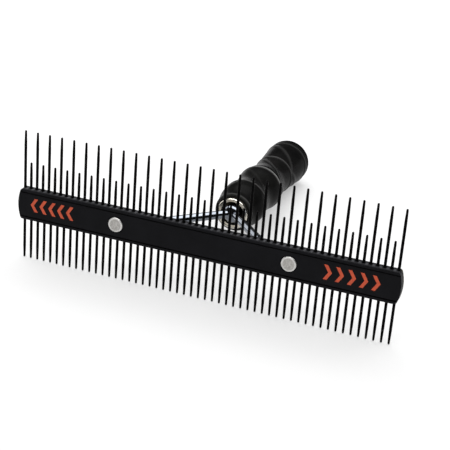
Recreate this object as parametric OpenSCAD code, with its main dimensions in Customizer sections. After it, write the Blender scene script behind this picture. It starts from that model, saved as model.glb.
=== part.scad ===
// Two-sided undercoat rake: a flat bar with a row of pins along each long edge,
// carried on a riveted two-arm fork with a lobed hand grip.
// The origin is the middle of the bar's flat front face, between the two rivets.
// +X runs along the bar, +Y from the front face towards the hand, +Z up the long pins.

/* [Bar] */
// Length of the bar over its convex ends
bar_len = 226.4; // [225.6:0.2:232]
// Height of the bar between its two pin edges
bar_h = 19; // [18:0.2:20]
// Thickness of the bar from front to back
bar_t = 6; // [5.6:0.1:7]
// Radius of the bar's four long edges
edge_r = 1; // [0.8:0.1:1.4]
// How far each end bulges past its corners
end_bulge = 1.8; // [1.2:0.1:2.4]
// Radius of the corners seen from the front
corner_r = 2.2; // [1.6:0.1:3]
// Chamfer around the rim of each end
end_chamfer = 0.3; // [0.3:0.2:0.5]
// Height of the flat face between its two long grooves
face_h = 14.4; // [12:0.2:14.4]
// Width of each long groove
groove_w = 0.5; // [0.3:0.1:0.7]
// Depth of each long groove
groove_d = 0.35; // [0.2:0.05:0.5]

/* [Pins] */
// Number of pins along the upper edge, an odd number
upper_count = 59; // [55:2:59]
// Number of pins along the lower edge
lower_count = 53; // [49:1:53]
// Distance from the first pin of a row to its last
row_len = 220.4; // [216:0.2:220.4]
// Diameter of a pin
pin_d = 1.6; // [1.4:0.05:1.6]
// Diameter of a pin just behind its rounded tip
pin_tip_d = 1.25; // [1:0.05:1.3]
// Length of the taper down to the tip
pin_taper = 8; // [6:0.5:12]
// Length of a long pin outside the bar
long_len = 34.4; // [30:0.1:38]
// Length of a short pin outside the bar
short_len = 15.7; // [13:0.1:20]
// Length of a lower pin outside the bar
lower_len = 24.9; // [22:0.1:30]
// Depth of a pin inside the bar
pin_root = 5; // [3:0.2:5]
// Diameter of the dimple around each pin
dimple_d = 2.7; // [2:0.1:2.8]
// Depth of the dimple around each pin
dimple_depth = 0.6; // [0.3:0.05:0.8]

/* [Rivets] */
// Distance between the two rivets
rivet_spacing = 102.6; // [96:0.2:108]
// Diameter of the flat rivet head
head_d = 8.7; // [8:0.1:9]
// Diameter of the seat that the head sits in
seat_d = 9.6; // [9.2:0.1:10]
// Depth of the seat
seat_depth = 1.5; // [1:0.1:1.8]
// How far the head stands in front of the face
head_proud = 0.1; // [0.05:0.05:0.3]
// Diameter of the rivet shank
shank_d = 5; // [4:0.1:5.4]
// Diameter of the closed rivet tail
tail_d = 8; // [7:0.1:9]
// Thickness of the washer under the tail
washer_t = 1; // [0.8:0.1:1.6]
// Diameter of the washer under the tail
washer_d = 10.4; // [9.5:0.1:11]

/* [Fork] */
// Diameter of the fork's round rod
rod_d = 4.9; // [4.4:0.1:5.2]
// Distance from the front face to the point where the rod axes meet
apex_y = 50.9; // [50.5:0.1:51.2]
// Slope of each rod, depth against width
rod_slope = 0.935; // [0.92:0.005:0.95]
// Thickness of the flat eye at each rod's end
eye_t = 2.6; // [2:0.1:3]
// Width of the flat eye
eye_w = 11; // [10:0.2:12]
// Diameter of the crown that joins the rods
crown_d = 10.5; // [10:0.1:11]
// Diameter of the threaded tang
tang_d = 8; // [7:0.1:8]

/* [Ferrule] */
// Outer diameter of the ferrule
ferrule_d = 18.6; // [18:0.1:19.4]
// Wall of the ferrule
ferrule_wall = 0.9; // [0.7:0.1:1]
// How far the ferrule stands out of the grip
ferrule_out = 2.9; // [2:0.1:4]
// Length of the ferrule
ferrule_len = 27; // [22:0.5:34]

/* [Grip] */
// Distance from the front face to the grip's front rim
grip_y = 52.7; // [52.5:0.1:53.5]
// Length of the grip
grip_len = 104.4; // [100:0.2:112]
// Radius of the grip's front rim
rim_r = 11.7; // [11.2:0.1:12.4]
// Radius of the grip at the top of its lobes
lobe_r = 14; // [13:0.1:15]
// Radius of the waist behind the first lobe
waist_r = 12.3; // [11.6:0.1:12.8]
// Radius of the waist behind the second lobe
narrow_r = 11.8; // [11.4:0.1:12.4]
// Length of the first lobe and of the second
lobe_len = 30.1; // [28:0.1:32]
// Radius of the rounded rear edge
grip_round = 4.2; // [3:0.1:4.4]

/* [Hidden] */
$fn = 72;
eps = 0.01;
far = 40;

// Bar: its ends are arcs of end_r about points on the long axis
half_h = bar_h / 2;
pin_y = bar_t / 2;
end_r = (half_h * half_h + end_bulge * end_bulge) / (2 * end_bulge);
arc_x = bar_len / 2 - end_r;
corner_z = half_h - corner_r;
corner_x = arc_x + sqrt(pow(end_r - corner_r, 2) - corner_z * corner_z);

// Rivets: each passes the bar, the fork eye and a washer
clear_d = shank_d + 0.1;
rivet_x = rivet_spacing / 2;
washer_y = bar_t + eye_t;
tail_y = washer_y + washer_t;
tail_h = 1.7;
tail_sphere_r = (tail_d * tail_d / 4 + tail_h * tail_h) / (2 * tail_h);

// Fork: the rods stop short of each other inside the crown
rod_angle = atan(rod_slope);
rod_gap = 3;
rod_len = (apex_y - bar_t) / sin(rod_angle) + 2;
eye_x0 = rivet_x - 9.5;
crown_y0 = 46.2;
crown_y1 = 62;
crown_dome_r = 6.5;
tang_y0 = crown_y1 - 9;

// Handle: the tang pulls the ferrule, bush and core together from behind
ferrule_y = grip_y - ferrule_out;
ferrule_bore = ferrule_d - 2 * ferrule_wall;
bush_y = ferrule_y + 0.4;
bush_mouth_d = 14;
bush_step_y = 55;
core_y1 = grip_y + grip_len - 4.6;
core_bore = tang_d + 0.4;
nut_pocket_d = 15.8;
nut_pocket = 10.5;
nut_seat_y = core_y1 - nut_pocket;
flat_washer_t = 1.6;
lock_washer_t = 2;
nut_h = 6.4;
nut_af = 13;
thread_end_y = nut_seat_y + flat_washer_t + lock_washer_t + nut_h + 0.3;
plug_r = 6.4;
plug_flange_r = 7.6;
plug_lip = 0.5;

// Grip: distance from its front rim and radius at each crest and waist
grip_crests = [[0, rim_r], [lobe_len / 2, lobe_r], [lobe_len, waist_r],
               [lobe_len * 1.5, lobe_r - 0.1], [lobe_len * 2, narrow_r],
               [grip_len - grip_round, lobe_r]];

function ease(t) = (1 - cos(180 * t)) / 2;

function grip_radius(s, i = 0) =
    s > grip_crests[i + 1][0] && i < len(grip_crests) - 2
        ? grip_radius(s, i + 1)
        : let (a = grip_crests[i], b = grip_crests[i + 1])
          a[1] + (b[1] - a[1]) * ease((s - a[0]) / (b[0] - a[0]));

// Places a solid drawn along +Z on the handle axis, starting at depth y
module along_y(y) translate([0, y, 0]) rotate([-90, 0, 0]) children();

// Turns a section of [radius, depth] points about the handle axis
module turned(section) along_y(0) rotate_extrude() polygon(section);

// Cylinder along +Y from depth y
module rod_y(d, y, length) along_y(y) cylinder(d = d, h = length);

module tube_y(d, bore, y, length) {
    difference() {
        rod_y(d, y, length);
        rod_y(bore, y - eps, length + 2 * eps);
    }
}

// Straight bar with rounded long edges
module bar_blank() {
    length = bar_len + 2;
    inner_t = bar_t - 2 * edge_r;
    inner_h = bar_h - 2 * edge_r;
    translate([-length / 2, 0, -inner_h / 2]) cube([length, bar_t, inner_h]);
    translate([-length / 2, edge_r, -half_h]) cube([length, inner_t, bar_h]);
    for (y = [edge_r, bar_t - edge_r], z = [-inner_h / 2, inner_h / 2])
        translate([-length / 2, y, z]) rotate([0, 90, 0]) cylinder(r = edge_r, h = length);
}

// Disc as thick as the bar whose two rims are chamfered, drawn long at both faces for cutting
module chamfered_disc(r, x, z) {
    inner = r - end_chamfer;
    translate([x, 0, z]) rotate([-90, 0, 0])
        rotate_extrude($fn = 180)
            polygon([[0, -2], [inner, -2], [inner, 0], [r, end_chamfer], [r, bar_t - end_chamfer],
                     [inner, bar_t], [inner, bar_t + 2], [0, bar_t + 2]]);
}

// What is cut from the bar's right end to make it convex
module end_cut() {
    difference() {
        translate([corner_x, -1, -far]) cube([far, bar_t + 2, 2 * far]);
        chamfered_disc(end_r, arc_x, 0);
    }
}

// What is cut from the right end's upper corner to round it
module corner_cut() {
    reach = 6;
    slope = corner_z / (corner_x - arc_x);
    difference() {
        translate([corner_x, bar_t + 1, corner_z]) rotate([90, 0, 0])
            linear_extrude(bar_t + 2)
                polygon([[0, 0], [reach, reach * slope], [reach, reach], [0, reach]]);
        chamfered_disc(corner_r, corner_x, corner_z);
    }
}

// Long groove beside the flat face
module face_groove(y, z) {
    translate([-bar_len / 2 - 1, y - groove_d, z - groove_w / 2])
        cube([bar_len + 2, 2 * groove_d, groove_w]);
}

// X of pin i in a row of count pins
function pin_x(i, count) = (i / (count - 1) - 0.5) * row_len;

// Blind hole and dimple for one pin, drawn for the upper edge
module pin_socket() {
    translate([0, pin_y, half_h - pin_root]) cylinder(d = pin_d, h = pin_root + 1, $fn = 24);
    translate([0, pin_y, half_h - dimple_depth])
        cylinder(d1 = pin_d, d2 = dimple_d, h = dimple_depth + eps, $fn = 24);
}

// One pin with its tapered, rounded tip, drawn for the upper edge
module pin(length) {
    r = pin_d / 2;
    tip_r = pin_tip_d / 2;
    tip_z = half_h + length - tip_r;
    tip = [for (a = [0:22.5:90]) [tip_r * cos(a), tip_z + tip_r * sin(a)]];
    foot = [[0, half_h - pin_root], [r, half_h - pin_root], [r, half_h + length - pin_taper]];
    translate([0, pin_y, 0]) rotate_extrude($fn = 24) polygon(concat(foot, tip));
}

module spine() {
    color([0.1, 0.1, 0.11])
    difference() {
        bar_blank();
        for (side = [0, 1], edge = [0, 1])
            mirror([side, 0, 0]) mirror([0, 0, edge]) corner_cut();
        for (side = [0, 1]) mirror([side, 0, 0]) {
            end_cut();
            translate([rivet_x, 0, 0]) {
                rod_y(clear_d, -1, bar_t + 2);
                rod_y(seat_d, -1, seat_depth + 1);
            }
        }
        for (y = [0, bar_t], edge = [-1, 1]) face_groove(y, edge * face_h / 2);
        for (i = [0:upper_count - 1]) translate([pin_x(i, upper_count), 0, 0]) pin_socket();
        for (i = [0:lower_count - 1])
            translate([pin_x(i, lower_count), 0, 0]) mirror([0, 0, 1]) pin_socket();
    }
}

module long_pins() {
    color([0.06, 0.06, 0.07])
    for (i = [0:2:upper_count - 1]) translate([pin_x(i, upper_count), 0, 0]) pin(long_len);
}

module short_pins() {
    color([0.06, 0.06, 0.07])
    for (i = [1:2:upper_count - 2]) translate([pin_x(i, upper_count), 0, 0]) pin(short_len);
}

module lower_pins() {
    color([0.06, 0.06, 0.07])
    for (i = [0:lower_count - 1])
        translate([pin_x(i, lower_count), 0, 0]) mirror([0, 0, 1]) pin(lower_len);
}

// Flat-headed rivet with a raised rim, whose tail is closed over a washer
module rivet(x) {
    r = head_d / 2;
    bevel = 0.2;
    rim_r0 = r - 1.1;
    face_y = -head_proud + 0.06;
    color([0.72, 0.72, 0.7])
    translate([x, 0, 0]) {
        turned([[0, face_y], [rim_r0, face_y], [rim_r0 + bevel, -head_proud], [r - bevel, -head_proud],
                [r, bevel - head_proud], [r, seat_depth], [shank_d / 2, seat_depth],
                [shank_d / 2, tail_y + 0.2], [0, tail_y + 0.2]]);
        intersection() {
            translate([0, tail_y + tail_h - tail_sphere_r, 0]) sphere(r = tail_sphere_r);
            rod_y(tail_d + 1, tail_y, tail_h + 1);
        }
    }
}

module rivet_washer(x) {
    color([0.7, 0.71, 0.73])
    translate([x, 0, 0]) tube_y(washer_d, clear_d, washer_y, washer_t);
}

// Rod from just outside the apex down to the bar, for the right side
module fork_rod(gap, length) {
    translate([0, apex_y, 0]) rotate([0, 0, -rod_angle]) translate([gap, 0, 0])
        rotate([0, 90, 0]) cylinder(d = rod_d, h = length - gap);
}

// Right fork arm: a straight rod whose end is a flat rivet eye with a seat for the washer
module fork_arm() {
    color([0.75, 0.77, 0.8])
    difference() {
        union() {
            fork_rod(rod_gap, rod_len);
            translate([rivet_x, 0, 0]) rod_y(eye_w, bar_t, eye_t);
            translate([eye_x0, bar_t, -eye_w / 2]) cube([rivet_x - eye_x0, eye_t, eye_w]);
        }
        translate([0, bar_t - far, -far / 2]) cube([bar_len / 2, far, far]);
        translate([rivet_x, 0, 0]) {
            rod_y(clear_d, 0, washer_y + 1);
            rod_y(washer_d + 0.4, washer_y, far / 2);
        }
    }
}

// Round-nosed crown that holds both rods and the tang
module fork_crown() {
    color([0.75, 0.77, 0.8])
    difference() {
        intersection() {
            rod_y(crown_d, 0, crown_y1);
            union() {
                translate([0, crown_y0 + crown_dome_r, 0]) sphere(r = crown_dome_r);
                rod_y(2 * crown_d, crown_y0 + crown_dome_r, far);
            }
        }
        for (side = [0, 1]) mirror([side, 0, 0]) fork_rod(rod_gap, rod_len);
        rod_y(tang_d, tang_y0, far);
    }
}

module fork_tang() {
    color([0.6, 0.6, 0.6])
    rod_y(tang_d, tang_y0, thread_end_y - tang_y0);
}

module ferrule() {
    r = ferrule_d / 2;
    bore_r = ferrule_bore / 2;
    bevel = 0.25;
    y1 = ferrule_y + ferrule_len;
    color([0.84, 0.82, 0.76])
    turned([[bore_r, ferrule_y], [r - bevel, ferrule_y], [r, ferrule_y + bevel], [r, y1], [bore_r, y1]]);
}

// Stepped bush that centres the crown in the ferrule
module ferrule_bush() {
    r = ferrule_bore / 2;
    mouth_r = bush_mouth_d / 2;
    bevel = 0.3;
    color([0.86, 0.83, 0.75])
    turned([[mouth_r + bevel, bush_y], [r, bush_y], [r, crown_y1], [crown_d / 2, crown_y1],
            [crown_d / 2, bush_step_y], [mouth_r, bush_step_y], [mouth_r, bush_y + bevel]]);
}

// Hard core that fills the ferrule's rear and the grip
module handle_core() {
    spigot_r = ferrule_bore / 2;
    core_r = ferrule_d / 2;
    step_y = ferrule_y + ferrule_len;
    color([0.35, 0.34, 0.33])
    turned([[core_bore / 2, crown_y1], [spigot_r, crown_y1], [spigot_r, step_y], [core_r, step_y],
            [core_r, core_y1], [nut_pocket_d / 2, core_y1], [nut_pocket_d / 2, nut_seat_y],
            [core_bore / 2, nut_seat_y]]);
}

module tang_washer() {
    color([0.7, 0.71, 0.73])
    tube_y(15.2, core_bore, nut_seat_y, flat_washer_t);
}

// Split spring washer, drawn flat as it is when tightened
module tang_lock_washer() {
    slot = 0.8;
    y = nut_seat_y + flat_washer_t;
    color([0.45, 0.45, 0.47])
    difference() {
        tube_y(13.4, core_bore, y, lock_washer_t);
        translate([0, y - 1, -slot / 2]) cube([far, lock_washer_t + 2, slot]);
    }
}

module tang_nut() {
    y = nut_seat_y + flat_washer_t + lock_washer_t;
    across_corners = nut_af / cos(30);
    color([0.7, 0.71, 0.73])
    difference() {
        along_y(y) cylinder(d = across_corners, h = nut_h, $fn = 6);
        rod_y(tang_d, y - 1, nut_h + 2);
    }
}

// Lobed rubber sleeve, open at the front and nearly closed at the rear
module grip_sleeve() {
    body_len = grip_len - grip_round;
    bore_r = ferrule_d / 2;
    lobes = [for (s = [0:2.004:body_len]) [grip_radius(s), grip_y + s]];
    round_r = lobe_r - grip_round;
    rear = [for (a = [15:15:90])
            [round_r + grip_round * cos(a), grip_y + body_len + grip_round * sin(a)]];
    bore = [[plug_r, grip_y + grip_len], [plug_r, core_y1], [bore_r, core_y1], [bore_r, grip_y]];
    color([0.09, 0.09, 0.1])
    turned(concat(lobes, rear, bore));
}

// Button that closes the hole in the grip's rear end
module end_plug() {
    y0 = core_y1 + 0.6;
    y1 = grip_y + grip_len;
    color([0.12, 0.12, 0.13])
    turned([[0, y0], [plug_r, y0], [plug_r, y1], [plug_flange_r, y1],
            [plug_flange_r - plug_lip, y1 + plug_lip], [0, y1 + plug_lip]]);
}

spine();
long_pins();
short_pins();
lower_pins();
rivet(-rivet_x);  // rivet_left
rivet(rivet_x);  // rivet_right
rivet_washer(-rivet_x);  // rivet_washer_left
rivet_washer(rivet_x);  // rivet_washer_right
mirror([1, 0, 0]) fork_arm();  // fork_arm_left
fork_arm();  // fork_arm_right
fork_crown();
fork_tang();
ferrule();
ferrule_bush();
handle_core();
tang_washer();
tang_lock_washer();
tang_nut();
grip_sleeve();
end_plug();
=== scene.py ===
import math

import bmesh
import bpy
from mathutils import Matrix, Vector


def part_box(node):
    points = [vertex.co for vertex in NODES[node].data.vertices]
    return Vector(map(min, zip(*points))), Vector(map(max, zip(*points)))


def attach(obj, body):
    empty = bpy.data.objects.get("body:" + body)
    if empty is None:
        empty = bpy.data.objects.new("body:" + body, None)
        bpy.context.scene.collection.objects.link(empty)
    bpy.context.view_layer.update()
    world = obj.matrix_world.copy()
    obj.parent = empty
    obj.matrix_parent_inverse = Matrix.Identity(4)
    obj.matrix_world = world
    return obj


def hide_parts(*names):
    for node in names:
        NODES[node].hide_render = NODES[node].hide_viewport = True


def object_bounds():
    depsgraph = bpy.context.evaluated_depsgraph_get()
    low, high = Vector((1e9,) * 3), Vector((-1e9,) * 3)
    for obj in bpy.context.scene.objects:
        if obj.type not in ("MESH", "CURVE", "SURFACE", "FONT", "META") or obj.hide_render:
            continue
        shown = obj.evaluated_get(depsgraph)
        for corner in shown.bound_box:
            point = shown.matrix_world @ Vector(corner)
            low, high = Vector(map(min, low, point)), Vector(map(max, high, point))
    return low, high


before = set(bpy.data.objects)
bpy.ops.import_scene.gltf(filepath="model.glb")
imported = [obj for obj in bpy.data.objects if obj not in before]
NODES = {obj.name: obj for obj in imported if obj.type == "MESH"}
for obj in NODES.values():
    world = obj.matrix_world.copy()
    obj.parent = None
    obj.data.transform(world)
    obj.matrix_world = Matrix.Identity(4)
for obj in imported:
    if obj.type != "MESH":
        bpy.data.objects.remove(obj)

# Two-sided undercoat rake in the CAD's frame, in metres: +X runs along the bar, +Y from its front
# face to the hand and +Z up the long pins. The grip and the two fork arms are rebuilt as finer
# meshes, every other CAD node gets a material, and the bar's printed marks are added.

MM = 0.001
BODY = "root"
CAD_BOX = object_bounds()


# ---------------------------------------------------------------- small helpers

def middle(node):
    """Centre of a CAD node's box."""
    low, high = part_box(node)
    return (low + high) / 2


def size(node):
    """Lengths of the sides of a CAD node's box."""
    low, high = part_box(node)
    return high - low


def direction(azimuth, elevation):
    """Unit vector from the model towards a viewer; azimuth 0 is in front, on -Y."""
    a = math.radians(azimuth)
    e = math.radians(elevation)
    return Vector((math.sin(a) * math.cos(e), -math.cos(a) * math.cos(e), math.sin(e)))


def smooth(t):
    """Eases from 0 to 1, flat at both ends."""
    t = min(max(t, 0.0), 1.0)
    return t * t * (3 - 2 * t)


def mesh_piece(name, bm, sharp_above=35):
    """Turns a bmesh into an object with smooth faces and sharp edges above an angle in degrees."""
    bmesh.ops.recalc_face_normals(bm, faces=bm.faces)
    mesh = bpy.data.meshes.new(name)
    bm.to_mesh(mesh)
    bm.free()
    mesh.polygons.foreach_set("use_smooth", [True] * len(mesh.polygons))
    mesh.set_sharp_from_angle(angle=math.radians(sharp_above))
    piece = bpy.data.objects.new(name, mesh)
    bpy.context.scene.collection.objects.link(piece)
    return piece


def skin_loops(bm, loops):
    """Quads between each closed loop of vertices and the next."""
    for first, second in zip(loops, loops[1:]):
        for i in range(len(first)):
            j = (i + 1) % len(first)
            bm.faces.new((first[i], first[j], second[j], second[i]))


def finish_piece(piece, material, slot_name, *nodes):
    """Material and body of a piece, and the CAD nodes that it stands for; slot_name is not used."""
    piece.data.materials.append(material)
    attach(piece, BODY)
    if nodes:
        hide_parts(*nodes)


# ---------------------------------------------------------------- material nodes

def new_material(name, **values):
    """A material whose Principled shader has these constant socket values."""
    material = bpy.data.materials.new(name)
    material.use_nodes = True
    shader = material.node_tree.nodes["Principled BSDF"]
    for socket, value in values.items():
        shader.inputs[socket.replace("_", " ")].default_value = value
    return material, material.node_tree, shader


def place(tree, offset=(0, 0, 0), scale=(1, 1, 1)):
    """Position in the CAD's frame, in metres, moved and then scaled."""
    coords = tree.nodes.new("ShaderNodeTexCoord")
    mapping = tree.nodes.new("ShaderNodeMapping")
    mapping.inputs["Location"].default_value = [-o * s for o, s in zip(offset, scale)]
    mapping.inputs["Scale"].default_value = scale
    tree.links.new(coords.outputs["Object"], mapping.inputs["Vector"])
    return mapping.outputs["Vector"]


def noise(tree, vector, scale, detail=4.0, roughness=0.55):
    """Cloudy pattern, mostly between 0.3 and 0.7; scale counts its blots in a metre."""
    node = tree.nodes.new("ShaderNodeTexNoise")
    node.inputs["Scale"].default_value = scale
    node.inputs["Detail"].default_value = detail
    node.inputs["Roughness"].default_value = roughness
    tree.links.new(vector, node.inputs["Vector"])
    return node.outputs["Fac"]


def cells(tree, vector, scale):
    """Distance from the middle of the nearest cell; scale counts the cells in a metre."""
    node = tree.nodes.new("ShaderNodeTexVoronoi")
    node.inputs["Scale"].default_value = scale
    tree.links.new(vector, node.inputs["Vector"])
    return node.outputs["Distance"]


def span(tree, value, low, high, to_low=0.0, to_high=1.0):
    """Maps value from low..high to to_low..to_high, clamped."""
    node = tree.nodes.new("ShaderNodeMapRange")
    node.inputs["From Min"].default_value = low
    node.inputs["From Max"].default_value = high
    node.inputs["To Min"].default_value = to_low
    node.inputs["To Max"].default_value = to_high
    tree.links.new(value, node.inputs["Value"])
    return node.outputs["Result"]


def calc(tree, operation, first, second=None):
    """Result of a Math node; each value is a number or another node's output."""
    node = tree.nodes.new("ShaderNodeMath")
    node.operation = operation
    for socket, value in zip(node.inputs, (first, second)):
        if isinstance(value, (int, float)):
            socket.default_value = value
        elif value is not None:
            tree.links.new(value, socket)
    return node.outputs["Value"]


def both(tree, first, second):
    """Mask that is 1 where both masks are."""
    return calc(tree, "MULTIPLY", first, second)


def blend(tree, factor, first, second):
    """Colour first where factor is 0 and second where it is 1."""
    node = tree.nodes.new("ShaderNodeMix")
    node.data_type = "RGBA"
    tree.links.new(factor, node.inputs["Factor"])
    for name, value in (("A", first), ("B", second)):
        socket = next(s for s in node.inputs if s.name == name and s.type == "RGBA")
        if isinstance(value, tuple):
            socket.default_value = (*value, 1)
        else:
            tree.links.new(value, socket)
    return next(s for s in node.outputs if s.type == "RGBA")


def mottle(tree, pattern, dark, light, low=0.3, high=0.7):
    """Dark colour where a pattern is low and light colour where it is high."""
    return blend(tree, span(tree, pattern, low, high), dark, light)


def axis_value(tree, vector, axis):
    """One of the X, Y and Z values of a vector."""
    node = tree.nodes.new("ShaderNodeSeparateXYZ")
    tree.links.new(vector, node.inputs["Vector"])
    return node.outputs[axis]


def joined(tree, **values):
    """Vector with these X, Y and Z values, 0 for those that are left out."""
    node = tree.nodes.new("ShaderNodeCombineXYZ")
    for axis, value in values.items():
        tree.links.new(value, node.inputs[axis])
    return node.outputs["Vector"]


def radius_about_y(tree, vector):
    """Distance from the line through the vector's origin along Y."""
    squares = []
    for axis in "XZ":
        value = axis_value(tree, vector, axis)
        squares.append(calc(tree, "MULTIPLY", value, value))
    return calc(tree, "SQRT", calc(tree, "ADD", *squares))


def drive(tree, shader, socket, value):
    """Links a value that varies over the surface to one of the shader's sockets."""
    tree.links.new(value, shader.inputs[socket])


def bump(tree, shader, height, strength, distance):
    """Bump from a height, on top of any bump that the shader already has."""
    node = tree.nodes.new("ShaderNodeBump")
    node.inputs["Strength"].default_value = strength
    node.inputs["Distance"].default_value = distance
    tree.links.new(height, node.inputs["Height"])
    for link in list(tree.links):
        if link.to_socket == shader.inputs["Normal"]:
            tree.links.new(link.from_socket, node.inputs["Normal"])
    tree.links.new(node.outputs["Normal"], shader.inputs["Normal"])


# ---------------------------------------------------------------- the bar's material

GROOVE_LINE_IN = 2.05 * MM  # from the bar's long edge in to the dark line at the groove's lip
GROOVE_LINE_HALF = 0.24 * MM
GROOVE_LINE_BLUR = 0.1 * MM
LAND_IN = 0.12 * MM  # how far below the bar's long edge the painted highlight on the lands begins
LAND_FULL_IN = 0.04 * MM
LAND_FROM_PIN = 1.0 * MM
LAND_BLUR = 0.4 * MM
LAND_FADE = (0.467, 0.567)  # shares of the bar's thickness over which the lands' painted highlight fades out
OLIVE_FADE = (0.6, 0.817)  # shares of the bar's thickness over which the olive tint fades in


def groove_lines(tree, height):
    """Mask of the dark line beside the flat face, at this height above or below the middle."""
    line_z = size("spine").z / 2 - GROOVE_LINE_IN
    from_line = calc(tree, "ABSOLUTE", calc(tree, "SUBTRACT", height, line_z))
    return span(tree, from_line, GROOVE_LINE_HALF, GROOVE_LINE_HALF + GROOVE_LINE_BLUR, 1, 0)


def land_highlights(tree, where, height, cloud):
    """Mask of the painted highlight on the front edge of the lands between neighbouring pins, left out
    round each pin where the pins shade it.
    """
    edge, thick = size("spine").z / 2, size("spine").y
    pin_pitch = (size("long_pins").x - size("short_pins").x) / 2
    land = span(tree, height, edge - LAND_IN, edge - LAND_FULL_IN)
    full, none = (share * thick for share in LAND_FADE)
    front = span(tree, axis_value(tree, where, "Y"), full, none, 1, 0)
    from_pin = calc(tree, "PINGPONG", axis_value(tree, where, "X"), pin_pitch / 2)
    between = span(tree, from_pin, LAND_FROM_PIN, LAND_FROM_PIN + LAND_BLUR)
    patchy = span(tree, cloud, 0.3, 0.6, 0.5, 1)
    return both(tree, both(tree, land, patchy), both(tree, front, between))


def olive_rims(tree, where):
    """Mask of the rear part of the bar's two end faces."""
    none, full = (share * size("spine").y for share in OLIVE_FADE)
    normal = tree.nodes.new("ShaderNodeNewGeometry").outputs["Normal"]
    end_face = span(tree, calc(tree, "ABSOLUTE", axis_value(tree, normal, "X")), 0.5, 0.85)
    return both(tree, end_face, span(tree, axis_value(tree, where, "Y"), none, full))


def anodised_black():
    """Black anodised bar: fine grain, long faint rub marks, a painted highlight on the lands between the
    pins, olive tint at its ends.
    """
    dark, light, speck = (0.0078, 0.0078, 0.009), (0.0115, 0.0115, 0.0134), (0.02, 0.02, 0.023)
    olive, shadow, painted_highlight = (0.05, 0.043, 0.024), (0.0005, 0.0005, 0.0005), (0.046, 0.046, 0.05)
    material, tree, shader = new_material("bar_black", Metallic=0.0, IOR=1.12)
    where = place(tree)
    height = calc(tree, "ABSOLUTE", axis_value(tree, where, "Z"))
    cloud = noise(tree, where, 70, 5)
    grain = noise(tree, where, 2600, 3, 0.7)
    rubs = noise(tree, place(tree, scale=(1, 12, 14)), 160, 4, 0.6)
    body = mottle(tree, cloud, dark, light)
    body = blend(tree, span(tree, grain, 0.62, 0.8, 0, 0.5), body, speck)
    body = blend(tree, olive_rims(tree, where), body, olive)
    body = blend(tree, groove_lines(tree, height), body, shadow)
    # painted highlight on the front edge of the lands between the pins, none round each pin
    body = blend(tree, land_highlights(tree, where, height, cloud), body, painted_highlight)
    drive(tree, shader, "Base Color", body)
    clouded, streaked = span(tree, cloud, 0.3, 0.7, 0.36, 0.44), span(tree, rubs, 0.35, 0.75, 0, 0.12)
    drive(tree, shader, "Roughness", calc(tree, "ADD", clouded, streaked))
    bump(tree, shader, grain, 0.35, 0.02 * MM)
    bump(tree, shader, rubs, 0.2, 0.02 * MM)
    return material


# ---------------------------------------------------------------- other materials

HEAD_RIM = (0.713, 0.805)  # shares of a rivet head's radius over which its brighter rim begins
MOUTH_SHARE = 0.845  # radius of the bush's mouth inside which its bore gets painted shade, as a share of the bush's own


def coated_pin():
    """Black coated steel pin: soft sheen and faint lines along the pin."""
    material, tree, shader = new_material("pin_black", Metallic=0.0, IOR=1.06)
    cloud = noise(tree, place(tree), 300, 3)
    lines = noise(tree, place(tree, scale=(14, 14, 1)), 240, 3, 0.65)
    colour = mottle(tree, cloud, (0.002, 0.002, 0.0022), (0.005, 0.0048, 0.0048))
    drive(tree, shader, "Base Color", colour)
    drive(tree, shader, "Roughness", span(tree, lines, 0.3, 0.7, 0.3, 0.46))
    bump(tree, shader, lines, 0.25, 0.015 * MM)
    return material


def turned_aluminium(name, node):
    """Flat rivet metal: fine turned rings about its own axis, blotches, pits and a brighter rim."""
    dark, light = (0.33, 0.315, 0.295), (0.62, 0.605, 0.58)
    bright_rim, pit = (0.7, 0.69, 0.67), (0.2, 0.19, 0.18)
    rim_start, rim_full = (share * size(node).x / 2 for share in HEAD_RIM)
    material, tree, shader = new_material(name, Metallic=0.85)
    local = place(tree, offset=middle(node))
    radius = radius_about_y(tree, local)
    rings = noise(tree, joined(tree, X=radius), 4200, 2, 0.6)
    blotch = noise(tree, local, 700, 5, 0.65)
    colour = mottle(tree, blotch, dark, light, 0.35, 0.68)
    colour = blend(tree, span(tree, radius, rim_start, rim_full), colour, bright_rim)
    pits = span(tree, noise(tree, local, 2300, 2, 0.5), 0.66, 0.78)
    drive(tree, shader, "Base Color", blend(tree, pits, colour, pit))
    drive(tree, shader, "Roughness", span(tree, blotch, 0.3, 0.7, 0.34, 0.52))
    bump(tree, shader, rings, 0.3, 0.03 * MM)
    bump(tree, shader, blotch, 0.3, 0.06 * MM)
    return material


def chrome():
    """Dark, slightly blue chrome plate with faint smears and hairline scratches."""
    material, tree, shader = new_material("fork_chrome", Metallic=1.0)
    smear = noise(tree, place(tree), 110, 4)
    hair = noise(tree, place(tree, scale=(1, 9, 9)), 900, 2, 0.5)
    drive(tree, shader, "Base Color", mottle(tree, smear, (0.14, 0.152, 0.172), (0.188, 0.204, 0.228)))
    drive(tree, shader, "Roughness", span(tree, smear, 0.35, 0.7, 0.06, 0.16))
    bump(tree, shader, hair, 0.08, 0.01 * MM)
    return material


def satin_nickel(name, warm, cool, rough, dark_within=0.0):
    """Turned nickel: fine lines round the handle's axis, patches of two tints, painted shade inside a
    radius.
    """
    bore_shade, bore_shade_blur = (0.045, 0.037, 0.026), 0.15 * MM
    material, tree, shader = new_material(name, Metallic=1.0)
    where = place(tree)
    radius = radius_about_y(tree, where)
    lines = noise(tree, joined(tree, X=radius, Y=axis_value(tree, where, "Y")), 3800, 3, 0.65)
    plate = mottle(tree, noise(tree, where, 260, 4), warm, cool, 0.35, 0.65)
    # painted shade inside the bore, within dark_within of the handle's axis
    inside = span(tree, radius, dark_within, dark_within + bore_shade_blur, 1, 0)
    drive(tree, shader, "Base Color", blend(tree, inside, plate, bore_shade))
    drive(tree, shader, "Roughness", span(tree, lines, 0.3, 0.7, rough - 0.06, rough + 0.08))
    bump(tree, shader, lines, 0.35, 0.02 * MM)
    return material


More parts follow.
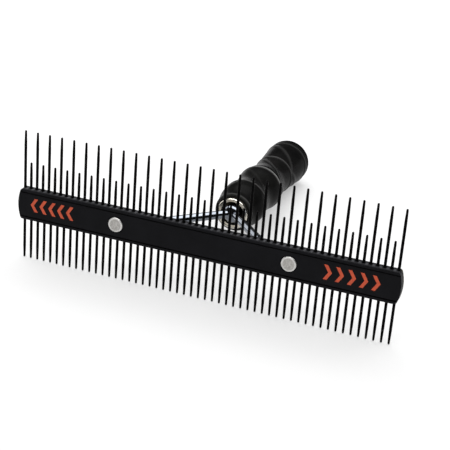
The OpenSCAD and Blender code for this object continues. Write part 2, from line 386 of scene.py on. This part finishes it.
def plated_steel(name, dark, light, rough):
    """Steel with a fine spangle, for the washers, the nut and the tang."""
    material, tree, shader = new_material(name, Metallic=1.0)
    where = place(tree)
    cloud = noise(tree, where, 350, 4)
    drive(tree, shader, "Base Color", mottle(tree, cells(tree, where, 900), dark, light, 0.1, 0.8))
    drive(tree, shader, "Roughness", span(tree, cloud, 0.3, 0.7, rough - 0.08, rough + 0.1))
    bump(tree, shader, cloud, 0.25, 0.03 * MM)
    return material


def moulded_plastic(name, dark, light, rough):
    """Hard plastic with a finely sparked surface."""
    material, tree, shader = new_material(name, Metallic=0.0, IOR=1.2)
    where = place(tree)
    spark = noise(tree, where, 2200, 3, 0.6)
    drive(tree, shader, "Base Color", mottle(tree, noise(tree, where, 120, 4), dark, light))
    drive(tree, shader, "Roughness", span(tree, spark, 0.3, 0.7, rough - 0.07, rough + 0.07))
    bump(tree, shader, spark, 0.3, 0.03 * MM)
    return material


def grip_rubber():
    """Black rubber: pebbled skin, a painted grey highlight on the crests of its rim, rings and ridges, a
    little dust.
    """
    dark, light = (0.0022, 0.0022, 0.0022), (0.0048, 0.0048, 0.0046)
    painted_highlight, dusty = (0.13, 0.13, 0.127), (0.03, 0.03, 0.027)
    material, tree, shader = new_material("grip_rubber", Metallic=0.0, IOR=1.055)
    where = place(tree)
    pebble = cells(tree, where, 1700)
    fine = noise(tree, where, 3200, 3, 0.6)
    cloud = noise(tree, where, 55, 5, 0.6)
    crest = tree.nodes.new("ShaderNodeAttribute")
    crest.attribute_name = CREST
    # painted highlight along the rim, the rings' crests and the ridges, read from the crest attribute
    highlight = both(tree, crest.outputs["Fac"], span(tree, cloud, 0.3, 0.65, 0.55, 1))
    dust = both(tree, span(tree, fine, 0.6, 0.8), span(tree, cloud, 0.5, 0.75))
    colour = blend(tree, highlight, mottle(tree, cloud, dark, light, 0.35, 0.65), painted_highlight)
    drive(tree, shader, "Base Color", blend(tree, dust, colour, dusty))
    drive(tree, shader, "Roughness", span(tree, cloud, 0.3, 0.7, 0.2, 0.28))
    bump(tree, shader, pebble, 0.2, 0.05 * MM)
    bump(tree, shader, fine, 0.15, 0.03 * MM)
    return material


def pad_print():
    """Orange ink: thin spots where the black shows through, soft satin surface."""
    dark, light, thin = (0.60, 0.062, 0.014), (0.76, 0.1, 0.024), (0.12, 0.03, 0.015)
    material, tree, shader = new_material("print_orange", Metallic=0.0)
    where = place(tree)
    cloud = noise(tree, where, 420, 4)
    pinholes = span(tree, noise(tree, where, 2400, 3, 0.6), 0.66, 0.76)
    drive(tree, shader, "Base Color", blend(tree, pinholes, mottle(tree, cloud, dark, light), thin))
    drive(tree, shader, "Roughness", span(tree, cloud, 0.3, 0.7, 0.42, 0.56))
    bump(tree, shader, cloud, 0.2, 0.02 * MM)
    return material


# ---------------------------------------------------------------- the CAD nodes that stay

def dress(material, *nodes):
    """Gives CAD nodes their Blender material."""
    for node in nodes:
        slots = NODES[node].data.materials
        slots.clear()
        slots.append(material)


def dress_metal(fork):
    """Materials of the rivets, the fork's crown and tang, the washers, the nut and the ferrule."""
    zinc = plated_steel("plated_steel", (0.42, 0.43, 0.45), (0.66, 0.67, 0.69), 0.34)
    spring = plated_steel("spring_steel", (0.12, 0.12, 0.13), (0.24, 0.24, 0.25), 0.42)
    ferrule = satin_nickel("ferrule_nickel", (0.66, 0.62, 0.53), (0.76, 0.74, 0.69), 0.2)
    mouth_r = MOUTH_SHARE * size("ferrule_bush").x / 2
    # the bush's bore gets painted shade inside mouth_r
    bush = satin_nickel("bush_nickel", (0.74, 0.66, 0.52), (0.84, 0.79, 0.68), 0.26, mouth_r)
    for side in ("left", "right"):
        dress(turned_aluminium("rivet_metal_" + side, "rivet_" + side), "rivet_" + side)
    dress(zinc, "rivet_washer_left", "rivet_washer_right", "fork_tang", "tang_washer", "tang_nut")
    dress(spring, "tang_lock_washer")
    dress(fork, "fork_crown")
    dress(ferrule, "ferrule")
    dress(bush, "ferrule_bush")


def dress_black():
    """Materials of the bar, the pins, the core and the end plug."""
    core = moulded_plastic("core_plastic", (0.06, 0.055, 0.05), (0.09, 0.085, 0.08), 0.5)
    plug = moulded_plastic("plug_plastic", (0.008, 0.008, 0.009), (0.016, 0.016, 0.017), 0.42)
    dress(anodised_black(), "spine")
    dress(coated_pin(), "long_pins", "short_pins", "lower_pins")
    dress(core, "handle_core")
    dress(plug, "end_plug")


# ---------------------------------------------------------------- fork arms

ROD_RADIUS = 2.45 * MM
ROD_APEX_IN = 4.7 * MM  # from the crown's nose back to the point where the two rods would meet
ROD_SPREAD = 0.935  # how far a rod runs outwards for each metre towards the bar
ROD_GAP = 3 * MM  # from that point to where the rod begins, inside the crown
BEND_DEPTH = 9 * MM  # how far behind the eye the rod begins to bend
BEND_END = 0.93  # where the bend ends, in eye radii from the rivet's axis
EYE_REACH = 0.998  # keeps the eye's rounded end inside the CAD's
EYE_TIP = 0.04  # height of that end's last section, in eye radii
FLAT_BY = 0.87  # share of the bend by which the rod is as thin as the eye
SQUARE_FROM = 0.23  # share of the bend from which its section grows squarer
ROUND, SQUARE = 2.0, 7.0  # exponents of the rod's section and the eye's
ARM_SIDES = 40
BEND_STEPS = 22
EYE_STEPS = 14


def rod_point(y):
    """Point of the right rod's axis at depth y, as (x, y)."""
    apex_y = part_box("fork_crown")[0].y + ROD_APEX_IN
    return Vector(((apex_y - y) * ROD_SPREAD, y))


def rod_start():
    """First section of the right arm, inside the crown."""
    along = Vector((ROD_SPREAD, -1)).normalized()
    apex = Vector((0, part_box("fork_crown")[0].y + ROD_APEX_IN))
    return apex + along * ROD_GAP, along, ROD_RADIUS, ROD_RADIUS, ROUND


def bend_sections(rivet_x, tab_y, eye_r, half_tab):
    """Sections where the right rod bends in line with the bar and is forged flat."""
    start, corner = rod_point(tab_y + BEND_DEPTH), rod_point(tab_y)
    end = Vector((rivet_x - BEND_END * eye_r, tab_y))
    for i in range(BEND_STEPS + 1):
        t = i / BEND_STEPS
        centre = start * (1 - t) ** 2 + corner * 2 * t * (1 - t) + end * t * t
        heading = ((corner - start) * (1 - t) + (end - corner) * t).normalized()
        half_height = ROD_RADIUS + (eye_r - ROD_RADIUS) * smooth(t)
        half_thick = ROD_RADIUS + (half_tab - ROD_RADIUS) * smooth(t / FLAT_BY)
        exponent = ROUND + (SQUARE - ROUND) * smooth((t - SQUARE_FROM) / (1 - SQUARE_FROM))
        yield centre, heading, half_height, half_thick, exponent


def eye_sections(rivet_x, tab_y, eye_r, half_tab):
    """Sections of the right eye from the rivet's axis to its rounded end."""
    for i in range(1, EYE_STEPS + 1):
        turn = math.pi / 2 * i / EYE_STEPS
        centre = Vector((rivet_x + eye_r * EYE_REACH * math.sin(turn), tab_y))
        yield centre, Vector((1, 0)), eye_r * max(math.cos(turn), EYE_TIP), half_tab, SQUARE


def arm_sections():
    """(centre, heading, half height, half thickness, exponent) along the right arm, crown to eye."""
    low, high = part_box("fork_arm_right")
    eye_r = (high.z - low.z) / 2
    half_tab = (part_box("rivet_washer_right")[0].y - low.y) / 2
    eye = (high.x - eye_r, low.y + half_tab, eye_r, half_tab)
    return [rod_start(), *bend_sections(*eye), *eye_sections(*eye)]


def section_point(turn, exponent):
    """Point of a superellipse of radius 1; an exponent of 2 is a circle and more is squarer."""
    c, s = math.cos(turn), math.sin(turn)
    return math.copysign(abs(c) ** (2 / exponent), c), math.copysign(abs(s) ** (2 / exponent), s)


def fork_arm(side, material):
    """Round rod that is forged flat into a rivet eye."""
    mirror = 1 if side == "right" else -1
    bm = bmesh.new()
    loops = []
    for centre, heading, half_height, half_thick, exponent in arm_sections():
        across = Vector((heading.y, -heading.x))
        loop = []
        for i in range(ARM_SIDES):
            flat, tall = section_point(2 * math.pi * i / ARM_SIDES, exponent)
            at = centre + across * half_thick * flat
            loop.append(bm.verts.new((mirror * at.x, at.y, half_height * tall)))
        loops.append(loop)
    skin_loops(bm, loops)
    bm.faces.new(loops[0])
    bm.faces.new(loops[-1])
    node = "fork_arm_" + side
    finish_piece(mesh_piece(node + "_forged", bm, 40), material, "fork_chrome", node)


# ---------------------------------------------------------------- grip

# Raised rings, front to back: how far each is behind the front rim, its height and the strength of its
# painted highlight
RING_IN = (18.8 * MM, 45.0 * MM, 71.0 * MM, 94.5 * MM)
RING_HEIGHT = (0.34 * MM, 0.4 * MM, 0.38 * MM, 0.3 * MM)
RING_HIGHLIGHT = (0.38, 1.0, 0.25, 0.12)
RING_HIGHLIGHT_POWER = 1.5  # the higher, the narrower the painted highlight along a crest
RING_AT = [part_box("grip_sleeve")[0].y + distance for distance in RING_IN]
RING_RISE = 2.0 * MM
RING_FALL = 1.0 * MM

# Diagonal ridges, one pair between each ring and the next, on both sides of an apex
RIDGE_APEX = math.radians(20)
RIDGE_REACH = math.radians(118)
RIDGE_HALF_WIDTH = 2.3 * MM
RIDGE_HEIGHT = (0.14 * MM, 0.32 * MM, 0.3 * MM)
RIDGE_LEAN = 0.74  # distance across a ridge for each metre along the handle
RIDGE_FADE = 0.25
RIDGE_HIGHLIGHT = 0.13
RIDGE_HIGHLIGHT_POWER = 2

# Front rim, whose painted highlight is strongest at this share of its rounding and fades over the next
# value
RIM_ROUND = 0.8 * MM
RIM_HIGHLIGHT = 0.5
RIM_HIGHLIGHT_AT = 0.2
RIM_HIGHLIGHT_FADE = 0.6

CREST = "crest"
REAR_ROUND = 4.2 * MM
BUTTON_SHARE = 0.85  # radius of the hole behind the plug, as a share of the plug's
ROW_STEP = 0.7 * MM
LIP_STEP = 0.2 * MM
LEAST_STEP = 0.02 * MM
RIM_STEPS = 5
REAR_STEPS = 9
GRIP_SIDES = 180


def cad_outline(node):
    """(y, outer radius) of a round CAD node, front to back."""
    widest = {}
    for v in NODES[node].data.vertices:
        y = round(v.co.y, 5)
        widest[y] = max(widest.get(y, 0), math.hypot(v.co.x, v.co.z))
    return sorted(widest.items())


def between(points, y):
    """Radius of an outline at y."""
    for (y0, r0), (y1, r1) in zip(points, points[1:]):
        if y <= y1:
            return r0 + (r1 - r0) * max(y - y0, 0) / (y1 - y0)
    return points[-1][1]


def ring_share(i, y):
    """Share of its full height that ring i has at y; it rises slowly and drops quickly behind."""
    ahead = RING_AT[i] - y
    return 1 - smooth(ahead / RING_RISE if ahead > 0 else -ahead / RING_FALL)


def ring_relief(y):
    """Height of the rings above the grip's outline at y."""
    return max(top * ring_share(i, y) for i, top in enumerate(RING_HEIGHT))


def ridge_relief(y, angle):
    """Height of the diagonal ridges, which leave each ring at the apex and climb to the next."""
    turn = abs((angle - RIDGE_APEX + math.pi) % (2 * math.pi) - math.pi)
    if turn > RIDGE_REACH:
        return 0
    height = 0
    for start, end, top in zip(RING_AT, RING_AT[1:], RIDGE_HEIGHT):
        off_crest = RIDGE_LEAN * abs(y - (start + (end - start) * turn / RIDGE_REACH))
        height = max(height, top * (1 - smooth(off_crest / RIDGE_HALF_WIDTH)))
    return height * smooth((RIDGE_REACH - turn) / RIDGE_FADE)


def crest_highlight(y, angle, into_rim):
    """Strength of the painted highlight, 0 to 1: the rim and the rings' crests most, the ridges less."""
    rim = RIM_HIGHLIGHT * (1 - smooth(abs(into_rim - RIM_HIGHLIGHT_AT) / RIM_HIGHLIGHT_FADE))
    rings = max(highlight * ring_share(i, y) ** RING_HIGHLIGHT_POWER for i, highlight in enumerate(RING_HIGHLIGHT))
    ridges = RIDGE_HIGHLIGHT * (ridge_relief(y, angle) / max(RIDGE_HEIGHT)) ** RIDGE_HIGHLIGHT_POWER
    return max(rim, rings, ridges)


def arc_depths(radius, steps):
    """Depths below the start of a quarter round, in equal turns."""
    return [radius * (1 - math.cos(math.pi / 2 * i / steps)) for i in range(steps + 1)]


def grip_rows(front, back):
    """Depths of the grip's rows, closer together at the rings' lips and at both ends."""
    rows = {front + i * ROW_STEP for i in range(int((back - front) / ROW_STEP))}
    for at in RING_AT:
        rows |= {at - i * LIP_STEP for i in range(round(RING_RISE / LIP_STEP) + 1)}
        rows |= {at + i * LIP_STEP for i in range(1, round(RING_FALL / LIP_STEP) + 1)}
    rows |= {front + depth for depth in arc_depths(RIM_ROUND, RIM_STEPS)}
    rows |= {back - depth for depth in arc_depths(REAR_ROUND, REAR_STEPS)}
    ordered = sorted(rows)
    return [y for y, after in zip(ordered, ordered[1:]) if after - y > LEAST_STEP] + [ordered[-1]]


def grip_loops(outline):
    """(y, radius or None for the outer surface) of the grip's loops, from its front bore round."""
    front, back = outline[0][0], outline[-1][0]
    bore = size("ferrule").x / 2
    button_hole = BUTTON_SHARE * size("end_plug").x / 2
    inner_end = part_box("handle_core")[1].y
    outer = [(y, None) for y in grip_rows(front, back)]
    return [(front, bore), *outer, (back, button_hole), (inner_end, button_hole), (inner_end, bore)]


def grip():
    """Rubber grip with rings and diagonal ridges, closed over the core."""
    outline = cad_outline("grip_sleeve")
    front = outline[0][0]
    bm = bmesh.new()
    crest = bm.verts.layers.float.new(CREST)
    loops = []
    for y, inner in grip_loops(outline):
        into_rim = min((y - front) / RIM_ROUND, 1)
        base = inner or between(outline, y) - RIM_ROUND * (1 - math.sqrt(1 - (1 - into_rim) ** 2))
        loop = []
        for i in range(GRIP_SIDES):
            angle = 2 * math.pi * i / GRIP_SIDES
            r = base + (0 if inner else max(ring_relief(y), ridge_relief(y, angle)))
            vert = bm.verts.new((r * math.cos(angle), y, r * math.sin(angle)))
            # strength of the painted highlight on the crests, stored in the crest attribute
            vert[crest] = 0 if inner else crest_highlight(y, angle, into_rim)
            loop.append(vert)
        loops.append(loop)
    skin_loops(bm, loops + loops[:1])
    finish_piece(mesh_piece("grip", bm, 50), grip_rubber(), "grip_rubber", "grip_sleeve")


# ---------------------------------------------------------------- printed marks

# Each row's centre, as a share of half the bar's length and then its height, and its two sizes
PRINTS = {
    "print_left": (-0.806, 0.6 * MM, 27.3 * MM, 8.2 * MM),
    "print_right": (0.765, 0.4 * MM, 31.3 * MM, 8.6 * MM),
}
CHEVRONS = 5
STROKE = 2.1 * MM
LEAN = 2.6 * MM
INK_PROUD = 0.04 * MM
INK_SUNK = 0.02 * MM


def chevron(height):
    """Outline of one chevron that points towards +X, centred on the origin."""
    tail, tip, half = -LEAN / 2, LEAN / 2, height / 2
    return [(tail - STROKE / 2, half), (tail + STROKE / 2, half), (tip + STROKE / 2, 0),
            (tail + STROKE / 2, -half), (tail - STROKE / 2, -half), (tip - STROKE / 2, 0)]


def printed_chevrons(name, centre_x, centre_z, width, height, ink):
    """A plain row of chevrons that points at the bar's nearer end, printed on its front face."""
    face_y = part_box("spine")[0].y
    outward = 1 if centre_x > 0 else -1
    pitch = (width - LEAN - STROKE) / (CHEVRONS - 1)
    bm = bmesh.new()
    for i in range(CHEVRONS):
        x = centre_x + (i - (CHEVRONS - 1) / 2) * pitch
        front = [bm.verts.new((x + outward * px, face_y - INK_PROUD, centre_z + pz))
                 for px, pz in chevron(height)]
        made = bmesh.ops.extrude_face_region(bm, geom=[bm.faces.new(front)])
        back = [v for v in made["geom"] if isinstance(v, bmesh.types.BMVert)]
        bmesh.ops.translate(bm, verts=back, vec=(0, INK_PROUD + INK_SUNK, 0))
    finish_piece(mesh_piece(name, bm), ink, "print_orange")


def add_prints():
    """Both printed rows, on the outer parts of the bar's flat face."""
    ink = pad_print()
    half_bar = size("spine").x / 2
    for name, (share, centre_z, width, height) in PRINTS.items():
        printed_chevrons(name, share * half_bar, centre_z, width, height, ink)


# ---------------------------------------------------------------- floor

FLOOR_REACH = 30.0
FLOOR_GLOW = 0.42
FLOOR_DARK = (0.262, 0.262, 0.262)
FLOOR_LIGHT = (0.276, 0.276, 0.276)


def rest_slope():
    """Tip of a lower pin, and the rise per metre of depth from there to where the grip touches."""
    low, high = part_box("lower_pins")
    tip = Vector((0, (low.y + high.y) / 2, low.z))
    grip_points = [v.co for v in NODES["grip_sleeve"].data.vertices]
    return tip, min((point.z - tip.z) / (point.y - tip.y) for point in grip_points)


def floor_white():
    """Pale, softly glowing paper that is clear from behind."""
    material, tree, shader = new_material("floor_white", Roughness=0.8, Emission_Strength=FLOOR_GLOW)
    shader.inputs["Emission Color"].default_value = (1, 1, 1, 1)
    shader.inputs["Specular IOR Level"].default_value = 0.2
    paper = noise(tree, place(tree), 6, 3)
    drive(tree, shader, "Base Color", mottle(tree, paper, FLOOR_DARK, FLOOR_LIGHT))
    clear = tree.nodes.new("ShaderNodeBsdfTransparent")
    mix = tree.nodes.new("ShaderNodeMixShader")
    behind = tree.nodes.new("ShaderNodeNewGeometry").outputs["Backfacing"]
    tree.links.new(behind, mix.inputs["Fac"])
    tree.links.new(shader.outputs["BSDF"], mix.inputs[1])
    tree.links.new(clear.outputs["BSDF"], mix.inputs[2])
    tree.links.new(mix.outputs["Shader"], tree.nodes["Material Output"].inputs["Surface"])
    return material


def add_floor():
    """Surface that the rake lies on, tilted so that the lower pins and the grip both touch it."""
    tip, slope = rest_slope()
    bm = bmesh.new()
    corners = [bm.verts.new((x * FLOOR_REACH, y * FLOOR_REACH, tip.z + slope * (y * FLOOR_REACH - tip.y)))
               for x, y in ((-1, -1), (1, -1), (1, 1), (-1, 1))]
    bm.faces.new(corners)
    floor = mesh_piece("floor", bm)
    if floor.data.polygons[0].normal.z < 0:
        floor.data.flip_normals()
    floor.data.materials.append(floor_white())


# ---------------------------------------------------------------- light and camera

# Camera: where it aims, as shares of the model's box, and where it stands from there
AIM_SHARE = (0.544, 0.068, 0.5634)
CAMERA_AZIMUTH = 19.26
CAMERA_ELEVATION = 23.05
CAMERA_ROLL = 4.66
CAMERA_DISTANCE = 0.683
CAMERA_LENS = 99.4
CAMERA_SENSOR = 36
CAMERA_NEAR, CAMERA_FAR = 0.02, 50

ROOM_FRONT, ROOM_BACK = 0.02, 0.09  # the room's brightness on the viewer's side and behind
ROOM_TURN = 0.6  # how far to either side of the middle its brightness changes


def add_room():
    """Dim room, darker on the viewer's side, so that black parts stay black."""
    world = bpy.data.worlds.new("studio")
    world.use_nodes = True
    bpy.context.scene.world = world
    tree = world.node_tree
    background = tree.nodes["Background"]
    background.inputs["Color"].default_value = (1, 1, 1, 1)
    coords = tree.nodes.new("ShaderNodeTexCoord")
    depth = axis_value(tree, coords.outputs["Generated"], "Y")
    strength = span(tree, depth, -ROOM_TURN, ROOM_TURN, ROOM_FRONT, ROOM_BACK)
    tree.links.new(strength, background.inputs["Strength"])


def add_softbox(name, azimuth, elevation, distance, width, height, watts):
    """Rectangular soft light that faces the model's middle."""
    low, high = CAD_BOX
    light = bpy.data.lights.new(name, "AREA")
    light.shape = "RECTANGLE"
    light.size = width
    light.size_y = height
    light.energy = watts
    lamp = bpy.data.objects.new(name, light)
    towards = direction(azimuth, elevation)
    lamp.location = (low + high) / 2 + towards * distance
    lamp.rotation_euler = (-towards).to_track_quat("-Z", "Y").to_euler()
    lamp.visible_camera = False
    bpy.context.scene.collection.objects.link(lamp)


def add_lights():
    """A large light overhead, and a small one on the left that draws the rods' edges."""
    add_room()
    add_softbox("overhead", azimuth=170, elevation=84, distance=1.25, width=2.3, height=1.9, watts=72)
    add_softbox("side_card", azimuth=-106, elevation=20, distance=0.6, width=0.5, height=0.4, watts=1.5)


def add_camera():
    """Camera at the photograph's viewing angle."""
    low, high = CAD_BOX
    aim = Vector([a + (b - a) * share for a, b, share in zip(low, high, AIM_SHARE)])
    data = bpy.data.cameras.new("camera")
    data.lens = CAMERA_LENS
    data.sensor_width = CAMERA_SENSOR
    data.clip_start = CAMERA_NEAR
    data.clip_end = CAMERA_FAR
    camera = bpy.data.objects.new("camera", data)
    towards = direction(CAMERA_AZIMUTH, CAMERA_ELEVATION)
    turn = (-towards).to_track_quat("-Z", "Y").to_matrix().to_4x4()
    roll = Matrix.Rotation(math.radians(CAMERA_ROLL), 4, "Z")
    camera.matrix_world = Matrix.Translation(aim + towards * CAMERA_DISTANCE) @ turn @ roll
    bpy.context.scene.collection.objects.link(camera)
    bpy.context.scene.camera = camera


# ---------------------------------------------------------------- the scene

bpy.context.scene.view_settings.view_transform = "Standard"
add_camera()
add_floor()
add_lights()
fork_metal = chrome()
dress_metal(fork_metal)
dress_black()
for arm_side in ("left", "right"):
    fork_arm(arm_side, fork_metal)
grip()
add_prints()
